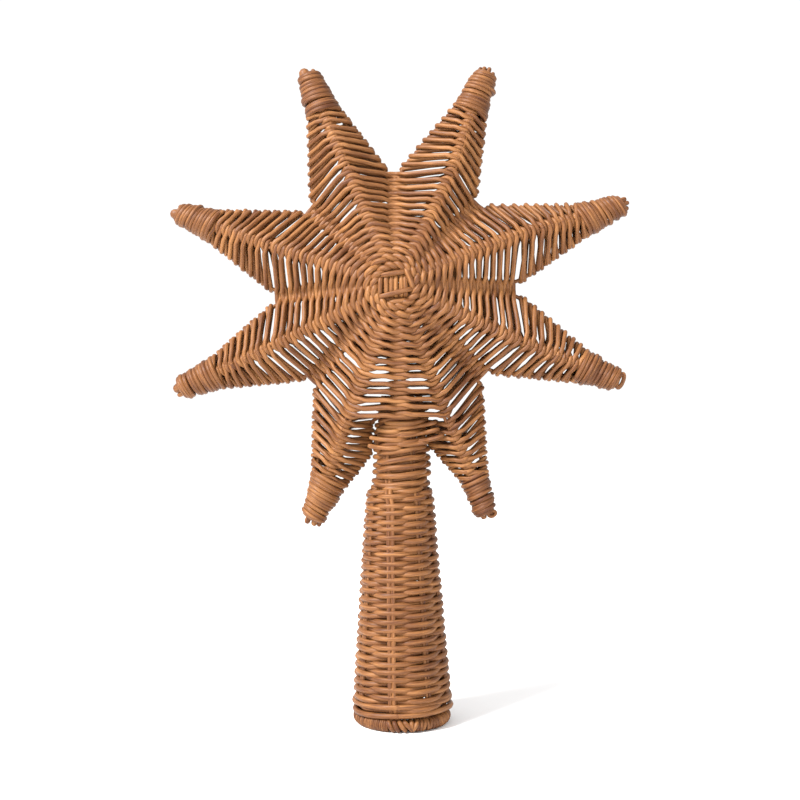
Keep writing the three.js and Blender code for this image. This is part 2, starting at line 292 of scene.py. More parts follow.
class BindingSizes(PropertyGroup):
    """Sizes of the cane windings on the arms' ends."""

    cane: length("Cane", "Thickness of the winding cane", 2.4)
    pitch: length("Pitch", "Distance between two turns", 1.95)
    end_radius: length("End radius", "Outer radius of the last full turn", 6.5)
    knob: length("Knob", "Length of the rounded end", 3.6)
    sink: length("Sink", "How far the winding stops before the arm's end", 2.5)
    unevenness: length("Unevenness", "How far a turn strays along the arm", 0.42)
    leans: FloatVectorProperty(
        name="Leans",
        description="How far each arm's turns lean outwards on their anticlockwise side, in millimetres",
        size=ARMS,
        default=(-1.9, -0.7, 0.1, 1.1, -0.8, 0.9, -1.0, 0.7),
    )


class RattanColours(PropertyGroup):
    """Colours and finish of the rattan."""

    light: colour("Light", "Pale honey of the lightest strands", (0.262, 0.115, 0.038))
    middle: colour("Middle", "Honey brown of most strands", (0.158, 0.062, 0.0195))
    dark: colour("Dark", "Reddish brown of the darkest strands", (0.072, 0.023, 0.008))
    roughness: share("Roughness", "Roughness of the rattan's skin", 0.46)


class StageSizes(PropertyGroup):
    """Camera, lights and floor."""

    distance: length("Distance", "Camera to the star's middle plane", 581.0)
    eye: length("Eye height", "Height of the camera", 161.8)
    aside: length("Aside", "Where the camera looks, sideways", 0.0)
    azimuth: share("Azimuth", "How far the camera stands to the right, in degrees", 3.0)
    lens: FloatProperty(name="Lens", description="Focal length in millimetres", default=51.75)
    floor: length("Floor radius", "Radius of the round floor", 6000.0)


# Lines and their smoothing


def lerp(start, end, amount):
    """The value that far on the way from the start to the end."""
    return start + (end - start) * amount


def smooth_step(amount):
    """0 up to 0 and 1 from 1 on, with a smooth rise between them."""
    amount = np.clip(amount, 0.0, 1.0)
    return amount * amount * (3 - 2 * amount)


def rising(value, start, span):
    """0 up to the start and 1 from a span further, with a smooth rise between them."""
    return smooth_step((value - start) / span)


def unit(vectors):
    """Each row of an array as a vector of length 1."""
    size = np.linalg.norm(vectors, axis=-1, keepdims=True)
    return vectors / np.maximum(size, 1e-12)


def rounded(points, reach, closed=True):
    """The line with its corners rounded, by averaging each point with its neighbours."""
    kernel = np.hanning(2 * reach + 3)[1:-1]
    kernel /= kernel.sum()
    if closed:
        padded = np.concatenate([points[-reach:], points, points[:reach]])
    else:
        first, last = points[:1].repeat(reach, 0), points[-1:].repeat(reach, 0)
        padded = np.concatenate([first, points, last])
    return np.stack([np.convolve(padded[:, i], kernel, "valid") for i in range(3)], axis=1)


def resampled(points, step):
    """An open line with points at about that distance from each other."""
    points = np.asarray(points, float)
    gaps = np.linalg.norm(np.diff(points, axis=0), axis=1)
    along = np.concatenate([[0.0], np.cumsum(gaps)])
    count = max(4, int(round(along[-1] / step)) + 1)
    wanted = np.linspace(0.0, along[-1], count)
    return np.stack([np.interp(wanted, along, points[:, i]) for i in range(3)], axis=1)


class Lines:
    """Centre lines of strands, each with its thickness and a number of its own for its colour."""

    END_SHAPE = ((0.0, 0.45), (0.12, 0.75), (0.4, 0.95))  # distance in thicknesses, and width

    def __init__(self, rng):
        self.rng = rng
        self.points, self.edges, self.thickness, self.tone = [], [], [], []

    def add(self, points, thickness, closed=False, tone=None):
        """Adds one strand. An open one gets round ends, and one without a tone a random one."""
        points = np.asarray(points, float)
        widths = np.full(len(points), thickness)
        if not closed:
            points, widths = self.with_round_ends(points, thickness)
        start = len(self.points)
        count = len(points)
        self.points.extend(points.tolist())
        self.thickness.extend(widths.tolist())
        tone = self.rng.random() if tone is None else tone
        self.tone.extend([tone] * count)
        self.edges.extend((start + i, start + i + 1) for i in range(count - 1))
        if closed:
            self.edges.append((start + count - 1, start))

    def with_round_ends(self, points, thickness):
        """The points of an open strand with its two ends drawn in, and its width at each point."""
        head = points[0] + unit(points[1] - points[0]) * thickness * 0.5
        tail = points[-1] + unit(points[-2] - points[-1]) * thickness * 0.5
        near = [points[0] + (head - points[0]) * 2 * d for d, _ in self.END_SHAPE]
        far = [points[-1] + (tail - points[-1]) * 2 * d for d, _ in reversed(self.END_SHAPE)]
        inner = [p for p in points if self.is_between(p, points[0], points[-1], thickness)]
        widths = [w * thickness for _, w in self.END_SHAPE]
        line = np.array([*near, *inner, *far])
        return line, np.array([*widths, *[thickness] * len(inner), *reversed(widths)])

    @staticmethod
    def is_between(point, start, end, thickness):
        """Whether a point is clear of both ends."""
        clear = 0.55 * thickness
        return np.linalg.norm(point - start) > clear and np.linalg.norm(point - end) > clear


# Forms of the star and the sleeve


class Sleeve:
    """The sleeve's outer shape."""

    STEP = 2.2 * MM  # height over which the shoulder steps in
    LEAN_TOP = 90 * MM  # height at which the foot's bulge to the right has run out

    def __init__(self, sizes):
        self.sizes = sizes

    def radius(self, height):
        """Outer radius at a height."""
        s = self.sizes
        low = lerp(s.mouth, s.shoulder, height / s.shoulder_height)
        high = lerp(s.neck, s.top_radius, (height - s.shoulder_height) / (s.top - s.shoulder_height))
        return lerp(low, high, smooth_step((height - s.shoulder_height) / self.STEP + 0.5))

    def middle(self, height, rattan):
        """Radius of the middle of the weave."""
        return self.radius(height) - rattan.stand - rattan.sleeve_strand / 2 + SLEEVE_CREST

    def point(self, angle, radius, height):
        """A point at an angle from the front, positive to the right."""
        low = np.clip(1 - height / self.LEAN_TOP, 0, 1) * rising(height, 0.0, 9 * MM)
        high = rising(height, self.sizes.shoulder_height, 8 * MM)
        aside = self.sizes.lean * low + self.sizes.neck_lean * high
        return np.stack([radius * np.sin(angle) + aside, -radius * np.cos(angle), height], axis=-1)


class Star:
    """The star's ridges, valleys and edges, where the middle of the weave lies."""

    SPACING = TURN / ARMS
    DRIFT_PEAK = 0.72  # share of the way to the arm's binding at which a ridge strays most
    DRIFT_END = 0.35  # share of its straying that is left at the binding
    LEVEL_TO = 0.72  # share of that way up to which the back's rows lie behind the front's
    LEVEL_FADE = 0.25
    OVER_SLEEVE = 4 * MM  # how far the bottom valley lies out of the sleeve's top
    SLEEVE_ROOM = 1.2 * MM  # between the sleeve and the arms beside it
    EDGE_FLAT = 0.6 * MM  # how much closer the front's and the back's strands lie on an arm's edge

    def __init__(self, sizes, rattan, sleeve, viewer):
        self.sizes = sizes
        self.sleeve = sleeve
        self.viewer = viewer
        self.centre = np.array([sizes.shift, 0.0, sizes.height])
        self.offset = np.array([sizes.centre_aside, 0.0, sizes.centre_up])
        self.inset = rattan.stand + rattan.strand / 2 - sizes.crest
        self.edge_inset = rattan.strand / 2 - sizes.crest
        self.bottom_depth = sleeve.sizes.top_radius + self.OVER_SLEEVE

    def arm_angle(self, arm):
        """Where an arm points, anticlockwise from the right."""
        turn = math.floor(arm / ARMS) * TURN
        arm %= ARMS
        return turn + self.SPACING * (arm + 0.5) + math.radians(self.sizes.turns[arm])

    def valley_angle(self, valley):
        """Where the valley after an arm runs."""
        turn = math.radians(self.sizes.notch_turns[valley % ARMS])
        return (self.arm_angle(valley) + self.arm_angle(valley + 1)) / 2 + turn

    def valley_distance(self, distance, valley):
        """A distance along that valley, which ends in its own notch."""
        return distance * (1 + self.sizes.notch_extras[valley % ARMS] * MM / self.sizes.notch)

    def ridge_depth(self, distance):
        """How far a ridge lies out of the star's middle plane."""
        s = self.sizes
        return lerp(s.apex, s.end_depth, (distance / s.arm_end) ** s.ridge_bow) - self.inset

    def valley_depth(self, distance, valley):
        """How far a valley lies out of it."""
        s = self.sizes
        part = distance / s.notch
        if valley % ARMS == BOTTOM_VALLEY:
            return lerp(s.apex, self.bottom_depth, part) - self.edge_inset
        return lerp(s.apex, s.edge, part**s.valley_bow) - self.edge_inset

    def ridge_distance(self, distance):
        """How far out a row with that distance in the valleys crosses a ridge."""
        straight = 1 / math.cos(self.SPACING / 2)
        return distance * lerp(1.0, straight, min(1.0, distance / self.sizes.notch))

    def drift(self, arm, distance):
        """How far a ridge strays from the arm's middle."""
        part = distance / (self.sizes.arm_end * self.DRIFT_PEAK)
        if part < 1:
            amount = math.sin(part * math.pi / 2)
        else:
            far = (distance / self.sizes.arm_end - self.DRIFT_PEAK) / (1 - self.DRIFT_PEAK)
            amount = lerp(1.0, self.DRIFT_END, min(1.0, far))
        return self.sizes.drifts[arm % ARMS] * MM * amount

    def at(self, angle, distance, depth, across=0.0):
        """A point of the star: across is measured anticlockwise from the line at that angle."""
        x = distance * math.cos(angle) - across * math.sin(angle)
        z = distance * math.sin(angle) + across * math.cos(angle)
        return self.centre + np.array([x, depth, z])

    def centre_pull(self, distance):
        """How far a row is drawn towards the centre of the weave."""
        return self.offset * max(0.0, 1 - distance / self.sizes.notch)

    def behind(self, point, depth_at, distance):
        """Where the line of sight through a point of the front meets the back. The gaps of both
        walls show in line, so the back's rows are laid behind the front's."""
        level = 1 - rising(distance / self.sizes.arm_end, self.LEVEL_TO, self.LEVEL_FADE)
        front = point[1]
        back = -front
        for _ in range(3):
            stretch = (self.viewer[1] - back) / (self.viewer[1] - front)
            seen = self.viewer + (point - self.viewer) * stretch
            seen = lerp(np.array([point[0], back, point[2]]), seen, level)
            offset = seen - self.centre
            back = depth_at(math.hypot(offset[0], offset[2]))
        seen[1] = back
        return seen

    def ridge(self, arm, distance, side):
        """A point on an arm's ridge."""
        angle = self.arm_angle(arm)
        point = self.at(angle, distance, -self.ridge_depth(distance), self.drift(arm, distance))
        point += self.centre_pull(distance)
        return point if side == FRONT else self.behind(point, self.ridge_depth, distance)

    def valley(self, valley, distance, side):
        """A point in a valley."""

        def depth_at(reach):
            reach = min(reach, self.sizes.notch)
            return self.valley_depth(reach, valley)

        out = self.valley_distance(distance, valley)
        point = self.at(self.valley_angle(valley), out, -self.valley_depth(distance, valley))
        point += self.centre_pull(distance)
        return point if side == FRONT else self.behind(point, depth_at, distance)

    def row(self, distance, side, shifts=(0.0,) * (2 * ARMS)):
        """The corners of one row: ridge, valley, ridge and so on round the star, each one moved
        outwards by its shift."""
        corners = []
        for arm in range(ARMS):
            outer = distance + shifts[2 * arm]
            corners.append(self.ridge(arm, self.ridge_distance(outer), side))
            outer = min(distance + shifts[2 * arm + 1], self.sizes.notch)
            corners.append(self.valley(arm, outer, side))
        return np.array(corners)

    def edge_point(self, arm, hand, part, depth):
        """A point on an arm's edge, on its anticlockwise side where hand is 1."""
        s = self.sizes
        valley = arm if hand > 0 else arm - 1
        root = self.at(self.valley_angle(valley), self.valley_distance(s.notch, valley), 0.0)
        width = s.end_width + self.extra_width(arm, hand)
        end = self.at(self.arm_angle(arm), s.arm_end, 0.0, hand * width)
        point = lerp(root, end, part)
        point[1] = depth
        if valley % ARMS == BOTTOM_VALLEY:
            self.keep_clear_of_sleeve(point, -1 if arm == BOTTOM_VALLEY else 1)
        return point

    def extra_width(self, arm, hand):
        """How much wider an arm is on one side where its binding starts."""
        sides = {(BOTTOM_VALLEY, 1): 0, (BOTTOM_VALLEY + 1, -1): 1}
        side = sides.get((arm % ARMS, hand))
        return 0.0 if side is None else self.sizes.inner_widths[side] * MM

    def keep_clear_of_sleeve(self, point, hand):
        """Moves a point sideways out of the sleeve."""
        reach = self.sleeve.radius(point[2]) + self.SLEEVE_ROOM
        if abs(point[1]) < reach:
            room = math.sqrt(reach**2 - point[1] ** 2)
            point[0] = hand * max(hand * point[0], room)

    def ring(self, arm, part, shift=0.0):
        """The corners of one ring round an arm, from the front ridge over the anticlockwise edge.
        The back ridge's corner is moved outwards by the shift."""
        s = self.sizes
        distance = lerp(self.ridge_distance(s.notch), s.arm_end, part)
        edge = s.edge - self.edge_inset - self.EDGE_FLAT
        return np.array(
            [
                self.ridge(arm, distance, FRONT),
                self.edge_point(arm, 1, part, -edge),
                self.edge_point(arm, 1, part, edge),
                self.ridge(arm, distance + shift, BACK),
                self.edge_point(arm, -1, part, edge),
                self.edge_point(arm, -1, part, -edge),
            ]
        )


# Weaving


def legs(corners, step):
    """How many points each side of a closed line gets, so that they are about a step apart."""
    gaps = np.linalg.norm(np.roll(corners, -1, axis=0) - corners, axis=1)
    return [max(3, int(round(gap / step))) for gap in gaps], gaps


def course(corners, counts, reach):
    """A closed line through the corners with their bends rounded."""
    parts = []
    for i, count in enumerate(counts):
        amounts = (np.arange(count) / count)[:, None]
        parts.append(lerp(corners[i], corners[(i + 1) % len(corners)], amounts))
    return rounded(np.concatenate(parts), reach)


def stations(counts):
    """Where each point of a course lies, as a number of corners passed."""
    return np.concatenate([i + np.arange(n) / n for i, n in enumerate(counts)])


def half_turns(where, crossings):
    """The pair's turning in radians. Each crossing, given by its place and width, is two quarter
    turns with a short run between them where the strands lie side by side."""
    phase = np.zeros(len(where))
    for place, width in crossings:
        for quarter in QUARTER_TURNS:
            step = (where - place) / width + quarter
            phase += math.pi / 2 * smooth_step(step / QUARTER_WIDTH + 0.5)
    return phase


def stray(where, total, amplitude, rng, span=STRAY_SPAN):
    """A closed irregularity along a course of that length, without short waves."""
    result = np.zeros(len(where))
    waves = [count for count in WAVES if span / count > SHORTEST_WAVE]
    for count in waves:
        result += rng.normal(0, 1) * np.sin(TURN * count * where / total + rng.uniform(0, TURN))
    return amplitude * result / math.sqrt(len(waves))


def twine(lines, corners, further, ways, sways, facing, rattan, rng, thicker=1.0):
    """Adds the two strands of one row or ring. On each side one lies in front and the other behind
    it, and at the crossings they lie next to each other and change places. The further corners give
    the direction of the next row, and facing turns the surface's normal into the front's."""
    counts, gaps = legs(corners, rattan.step)
    middle = course(corners, counts, BEND_REACH)
    across = unit(course(further, counts, BEND_REACH) - middle)
    along = unit(np.roll(middle, -1, axis=0) - np.roll(middle, 1, axis=0))
    normal = facing(unit(np.cross(along, across)), middle)
    across -= normal * np.sum(normal * across, axis=1, keepdims=True)
    across = unit(across)
    where = stations(counts)
    total = len(corners)
    phase = half_turns(where, [(place, crossing_width(gaps, place, rattan)) for place in ways])
    sway = np.interp(where, range(total + 1), [*sways, sways[0]])
    span = gaps.sum()
    drift = stray(where, total, rattan.wobble, rng, span)
    for turn in (0.0, math.pi):
        lift = rattan.stand * np.cos(phase + turn)
        lift += stray(where, total, rattan.wobble * 0.4, rng, span)
        aside = sway * np.sin(phase + turn) + drift
        aside += stray(where, total, rattan.wobble * 0.5, rng, span)
        strand = middle + normal * lift[:, None] + across * aside[:, None]
        lines.add(strand, rattan.strand * thicker * rng.uniform(0.94, 1.06), closed=True)


def crossing_width(gaps, place, rattan):
    """How much of the sides next to a crossing it takes, as a number of corners."""
    gap = gaps[int(place) % len(gaps)]
    return min(1.0, rattan.turn / gap) if place == int(place) else EDGE_CROSSING


def weave_star_side(star, side, rattan, rng):
    """The rows from the star's centre to its notches, on the front or the back."""
    lines = Lines(rng)
    s = star.sizes
    outwards = np.array([0.0, side, 0.0])
    sways = [rattan.ridge_sway, rattan.valley_sway] * ARMS
    ways = range(2 * ARMS + 1)

    def facing(normal, _):
        signs = np.sign(normal @ outwards)[:, None]
        return unit(0.8 * normal * signs + outwards)

    between, between_span = 24 * MM, 16 * MM  # nearer the centre the back's rows lie between the front's
    fattest, fattest_span = 12 * MM, 38 * MM
    starts = rng.uniform(0, TURN, 2 * ARMS)
    for i in range(int((s.notch - s.innermost) / s.pitch) + 1):
        distance = s.notch - i * s.pitch
        shifts = s.uneven * np.sin(TURN * distance / BACK_WAVE + starts) * (side == BACK)
        if side == BACK:
            distance += s.pitch / 2 * (1 - rising(distance, between, between_span))
        further = star.row(distance + 1 * MM, side, shifts)
        row = star.row(distance, side, shifts)
        thicker = 1 + rattan.fattening * (1 - rising(distance, fattest, fattest_span))
        twine(lines, row, further, ways, sways, facing, rattan, rng, thicker)
    return lines


def weave_arm(star, arm, rattan, rng, lines):
    """The rings round one arm, from its root to its binding."""
    s = star.sizes
    angle = star.arm_angle(arm)
    spine = star.at(angle, s.arm_end * 0.8, 0.0)
    direction = np.array([math.cos(angle), 0.0, math.sin(angle)])
    ridge, edge = rattan.ridge_sway, rattan.edge_sway

    def facing(normal, points):
        rest = points - spine
        rest -= np.outer(rest @ direction, direction)
        signs = np.sign(np.sum(normal * rest, axis=1))[:, None]
        level = normal * signs
        return unit(level - np.outer(level @ direction, direction))

    for i in range(1, s.rings + 1):
        part = (i / s.rings) ** s.crowding
        shift = s.uneven * math.sin(2.4 * i + arm)
        further = star.ring(arm, part + 0.02, shift)
        sways = [ridge, edge, edge, ridge, edge, edge]
        ring = star.ring(arm, part, shift)
        twine(lines, ring, further, (0, 1.5, 3, 4.5, 6), sways, facing, rattan, rng)


def close_notches(star, rattan, rng, lines):
    """Short strands round the bottoms of the notches, from the front's rows to the back's."""
    sunk, flare = 0.8 * MM, 0.35 * MM  # under the notch's end, and further out for each mm across
    half_depth, turned_in = 4.2 * MM, 2.5 * MM
    for valley in range(ARMS):
        if valley == BOTTOM_VALLEY:
            continue
        angle = star.valley_angle(valley)
        distance = star.valley_distance(star.sizes.notch, valley) - sunk
        for across in NOTCH_STRANDS:
            out = distance + abs(across) * flare
            reach = np.linspace(-1, 1, 9)
            line = [star.at(angle, out - turned_in * t**4, half_depth * t, across * MM) for t in reach]
            lines.add(line, rattan.strand * rng.uniform(0.95, 1.05))


def star_stakes(star, rattan, rng):
    """The stakes along the ridges, the valleys and the arms' edges."""
    lines = Lines(rng)
    s = star.sizes
    into_binding = s.arm_end + BINDING_HOLD
    for side in (FRONT, BACK):
        for arm in range(ARMS):
            ridge_line(star, arm, side, into_binding, rattan, lines)
            for hand in (-1, 1):
                edge_line(star, arm, side, hand, into_binding, rattan, lines)
    return lines


def ridge_line(star, arm, side, end, rattan, lines):
    """The double stake under one ridge."""
    angle = star.arm_angle(arm)
    aside = np.array([-math.sin(angle), 0.0, math.cos(angle)])
    flattened = 0.55  # share of its depth that is left inside the binding
    for hand in STAKE_RODS:
        points = []
        for distance in np.linspace(star.sizes.innermost, end, 40):
            point = star.ridge(arm, distance, side) + aside * hand * rattan.thin_stake
            point[1] -= side * STAKE_DEPTH
            if distance > star.sizes.arm_end:
                over = (distance - star.sizes.arm_end) / (end - star.sizes.arm_end)
                point[1] *= lerp(1.0, flattened, over)
            points.append(point)
        lines.add(resampled(points, 2 * rattan.step), rattan.thin_stake)


def edge_line(star, arm, side, hand, end, rattan, lines):
    """The stake beside one valley, which goes on inside the arm's edge."""
    s = star.sizes
    valley = arm if hand > 0 else arm - 1
    arm_root = star.at(star.arm_angle(arm), s.notch, 0.0)
    towards = unit(arm_root - star.at(star.valley_angle(valley), s.notch, 0.0))
    beside, inside, depth, last_across = 2.1 * MM, 2.6 * MM, side * 1.0 * MM, hand * 3.2 * MM
    points = []
    inwards = np.array([0.0, -side * STAKE_DEPTH * 0.5, 0.0])
    for distance in np.linspace(17 * MM, s.notch - 3 * MM, 24):
        points.append(star.valley(valley, distance, side) + towards * beside + inwards)
    for part in np.linspace(0.08, 1.0, 14):
        point = star.edge_point(arm, hand, part, depth)
        inwards = star.at(star.arm_angle(arm), s.arm_end * 0.9, 0.0) - point
        points.append(point + unit(inwards) * inside)
    points.append(star.at(star.arm_angle(arm), end, depth, last_across))
    line = rounded(resampled(points, 1.5 * rattan.step), 3, closed=False)
    lines.add(line, rattan.stake)


def centre_cross(star, rng):
    """The rods and the crossed strands in the star's centre, on both sides."""
    lines = Lines(rng)
    upright, level, dived = 1.9, 4.2, 2.4  # depths under the apex, and of the ends under the middle
    rods = [(x, -5.6, x + lean, 5.2, upright, 2.45) for x, lean in CROSS_RODS]
    across = ((-6.9, 0.2), *CROSS_RODS, (7.0, -0.2))
    rods += [(-10.0, z, 10.0, z + lean, level, 2.4) for z, lean in across]
    for side in (FRONT, BACK):
        middle = star.row(star.sizes.innermost, side).mean(axis=0) * (1, 0, 1)
        for x1, z1, x2, z2, deep, thickness in (*rods, *CROSS_STRANDS):
            points = []
            for t in np.linspace(0, 1, 11):
                dive = (2 * t - 1) ** 4 * dived
                depth = side * (star.sizes.apex - (deep + dive) * MM)
                place = np.array([lerp(x1, x2, t) * MM, depth, lerp(z1, z2, t) * MM])
                points.append(middle + place)
            lines.add(points, thickness * MM * rng.uniform(0.96, 1.04))
    return lines


def weave_sleeve(sleeve, rattan, rng):
    """Two strands that wind up the sleeve, each in front of every other stake, and under them the
    two thick rows at the foot."""
    lines = Lines(rng)
    s = sleeve.sizes
    turns = (s.top - s.bottom) / s.pitch
    count = int(turns * SLEEVE_POINTS)
    first = math.radians(s.first_stake)
    hardness = 1.5  # how sharply a strand changes from the front to the back of the stakes
    start_sunk, start_angle = 2.4 * MM, 1.6  # the strands start under the thick rows
    stray_up, stray_out = 7.3 * TURN, 5.1 * TURN  # angles after which the irregularities repeat
    for strand in (0, 1):
        angle = np.linspace(0.0, turns * TURN, count)
        height = s.bottom + s.pitch * (angle / TURN) + strand * s.pitch / 2
        angle = angle + math.pi
        height = height + stray(angle, stray_up, rattan.wobble, rng, 1.0)
        neck = rising(height, s.shoulder_height, 10 * MM)
        height = height + s.neck_slope * np.sin(angle) * neck
        height = height - s.sag * np.cos(angle) + 0.5 * s.sag * np.sin(angle)
        short = np.tanh(hardness * np.cos((angle - first) * s.stakes / 2 + strand * math.pi))
        long = np.tanh(hardness * long_swing(angle, *NECK_FRONT) * (1 - 2 * strand))
        swing = lerp(short, long, rising(height, s.shoulder_height, 5 * MM)) / math.tanh(hardness)
        swing = np.where(swing < 0, swing * (1 + neck), swing)
        radius = sleeve.middle(height, rattan)
        radius += rattan.stand * swing + stray(angle, stray_out, rattan.wobble * 0.5, rng, 1.0)
        radius -= start_sunk * (1 - smooth_step((angle - math.pi) / start_angle - 1))
        lines.add(sleeve.point(angle, radius, height), rattan.sleeve_strand, tone=SLEEVE_TONES[strand])
    for row in (0, 1):
        finish_row(sleeve, row, rattan, rng, lines)
    return lines


def finish_row(sleeve, row, rattan, rng, lines):
    """One of the two thick rows at the foot. Both rise to the right, and the lower one lies on the
    foot ring and stands out on the right."""
    s = sleeve.sizes
    angle = np.linspace(0.0, TURN, 96, endpoint=False)
    swing = np.cos((angle - math.radians(s.first_stake)) * s.stakes / 2 + row * math.pi)
    to_front, to_right = 0.45 * row - 0.05, 0.9  # rise towards the front and the right, in mm
    tilt = to_front * np.cos(angle) + to_right * np.sin(angle)
    height = (s.finish_heights[row] + tilt) * MM
    height += stray(angle, TURN, rattan.wobble, rng)
    sunk, woven = 0.7 * MM, 0.5 * MM  # under the sleeve's surface, and in and out of the stakes
    radius = sleeve.radius(height) - s.finish / 2 + SLEEVE_CREST - sunk + woven * swing
    bulge_place, bulge_width, bulge_out, bulge_up = 1.35, 0.42, 1.5 * MM, 0.4 * MM
    upper_out = 0.4 * MM  # how much further out the upper row lies
    bulge = (1 - row) * np.exp(-(((angle - bulge_place) / bulge_width) ** 2))
    radius += bulge_out * bulge + upper_out * row
    height += bulge_up * bulge
    lines.add(sleeve.point(angle, radius, height), s.finish, closed=True, tone=SLEEVE_TONES[row])


def long_swing(angle, middle, width):
    """1 where a strand lies in front, over that width round the middle and again at the back."""
    place = (angle - middle + width / 2) % math.pi
    rest = 1 + (place - width) / (math.pi - width)
    return np.sin(math.pi * np.where(place < width, place / width, rest))


def neck_lacing(sleeve, rattan, rng):
    """The strands that tie the sleeve's neck to the two lowest arms, in front and behind."""
    lines = Lines(rng)
    proud, arm_depth = 0.6 * MM, 14.2 * MM  # out of the sleeve, and half depth of the arms beside it
    dived, sagging = 2.6 * MM, 0.8 * MM
    for side in (FRONT, BACK):
        for x1, z1, x2, z2 in NECK_LACES:
            points = []
            for t in np.linspace(0, 1, 14):
                x, z = lerp(x1, x2, t) * MM, lerp(z1, z2, t) * MM
                radius = sleeve.radius(z) + proud
                far = rising(abs(x) / MM, 7, 9)
                depth = lerp(math.sqrt(max(radius**2 - x**2, 0)), arm_depth, far)
                dive = dived * (2 * t - 1) ** 6
                sag = sagging * (1 - (2 * t - 1) ** 2)
                points.append([x, side * (depth - dive), z - sag])
            lines.add(points, rattan.strand * rng.uniform(0.92, 1.08))
    return lines


def sleeve_stakes(sleeve, rattan, rng):
    """The double stakes that the sleeve is woven on."""
    lines = Lines(rng)
    s = sleeve.sizes
    start, past_top = 4 * MM, 6 * MM
    neck_sunk, apart = 1.7, 0.9  # deeper in the neck, in mm, and between a pair's rods, in thicknesses
    for i in range(s.stakes):
        angle = math.radians(s.first_stake) + TURN * i / s.stakes
        rise, thickness, shifts = SLEEVE_STAKES.get(i, PLAIN_STAKE)
        bend = s.shoulder_height
        for hand in (-0.5, 0.5):
            points = []
            for height in np.linspace(start, s.top + past_top, 60):
                radius = sleeve.middle(height, rattan)
                rise_here = rise - neck_sunk * rising(height, bend - 2 * MM, 6 * MM)
                radius += lerp(STAKE_SUNK, rise_here, rising(height, 8 * MM, 5 * MM)) * MM
                shift = np.interp(height, (0.0, bend - 6 * MM, bend + 12 * MM), shifts) * MM
                turn = angle + (shift + hand * thickness * MM * apart) / radius
                points.append(sleeve.point(turn, radius, height))
            lines.add(resampled(points, 2 * rattan.step), thickness * MM)
    return lines


def foot_wraps(foot, rng):
    """The cane wound round the foot ring: fine on the left, thick in front, coarse on the right."""
    lines = Lines(rng)
    thick_proud = 0.7 * MM  # how much further the thick wraps stand out
    wraps = [(math.radians(degrees), foot.thick, slant) for degrees, slant in FOOT_THICK_WRAPS]
    thick_start, thick_end = FOOT_THICK_STRETCH
    angle = thick_end + 0.5 * foot.coarse / foot.outer
    while angle < FOOT_COARSE_END:
        wraps.append((angle, foot.coarse, rng.uniform(-0.03, 0.02)))
        angle += foot.coarse / foot.outer * 1.02
    while angle < thick_start + TURN - 0.4 * foot.fine / foot.outer:
        wraps.append((angle, foot.fine, rng.uniform(-0.01, 0.03)))
        angle += foot.fine / foot.outer * 0.98
    middle = foot.outer - foot.width / 2
    for angle, thickness, slant in wraps:
        turn = np.linspace(0.0, TURN, 18, endpoint=False)
        across = (foot.width - thickness) / 2 * rng.uniform(0.96, 1.04)
        across += thick_proud * (thickness == foot.thick)
        up = (foot.height - thickness) / 2
        radius = middle + across * np.cos(turn)
        height = foot.height / 2 + up * np.sin(turn)
        place = angle - slant * np.sin(turn)
        x = radius * np.sin(place) + foot.aside
        points = np.stack([x, -radius * np.cos(place), height], axis=-1)
        lines.add(points, thickness, closed=True)
    return lines


def tip_winding(star, binding, arm, rng):
    """The cane wound round an arm's end, with the short ends and the loop that show in it."""
    lines = Lines(rng)
    angle = star.arm_angle(arm)
    end = star.sizes.reach + star.sizes.extras[arm] * MM
    lines.add(winding_line(star, binding, arm, end, rng), binding.cane)
    for before, after, across, thickness in ARM_ENDS[arm]:
        ends = (end - before * MM, end - after * MM)
        line = [star.at(angle, lerp(*ends, t), -0.8 * MM, across * MM) for t in np.linspace(0, 1, 5)]
        lines.add(line, thickness * MM)
    if arm in ARM_LOOPS:
        before, middle, along, across, thickness = ARM_LOOPS[arm]
        line = []
        for t in np.linspace(0, TURN, 20, endpoint=False):
            distance = end - (before - along * math.cos(t)) * MM
            line.append(star.at(angle, distance, -2.6 * MM, (middle + across * math.sin(t)) * MM))
        lines.add(line, thickness * MM, closed=True)
    return lines


def winding_line(star, binding, arm, end, rng):
    """The line of the cane: turns that get smaller along the arm, closed by a rounded knob."""
    s = star.sizes
    start = s.arm_end - 0.4 * MM
    looseness, least = 0.32 * MM, 0.35 * MM  # how far a turn strays outwards, and the last one's radius
    fullness, closed = 0.75, 0.45 * binding.cane  # of the knob: its fullness, and its radius at the end
    wound = end - binding.sink - binding.knob - start
    left, right = star.extra_width(arm, 1) / 2, star.extra_width(arm, -1) / 2
    turns = wound / binding.pitch
    steps = np.arange(0, int((turns + CLOSING_TURNS) * WINDING_POINTS))
    where = steps / WINDING_POINTS
    flat = s.end_depth / s.end_width
    lean = binding.leans[arm] * MM
    uneven = np.interp(where, np.arange(30), rng.normal(0, binding.unevenness, 30))
    loose = np.interp(where, np.arange(0, 30, 0.5), rng.normal(0, looseness, 60))
    points = []
    for turn, stray_along, stray_out in zip(where, uneven, loose):
        if turn < turns:
            along = start + turn * binding.pitch
            outer = lerp(s.end_width + s.crest + left + right, binding.end_radius, turn / turns)
            tilt = lean
        else:
            part = (turn - turns) / CLOSING_TURNS
            along = start + wound + (binding.knob - binding.cane / 2) * math.sin(part * math.pi / 2)
            outer = binding.end_radius * math.cos(part * math.pi / 2) ** fullness + closed * part
            tilt = lerp(lean, 0.0, part)
        radius = max(outer - binding.cane / 2 + stray_out, least)
        phase = turn * TURN
        along += tilt * math.cos(phase) + stray_along * (1 - smooth_step(turn - turns))
        aside = radius * math.cos(phase) + (left - right) * max(0.0, 1 - turn / turns)
        points.append(star.at(star.arm_angle(arm), along, radius * flat * math.sin(phase), aside))
    return points


# Geometry Nodes: round strands along lines


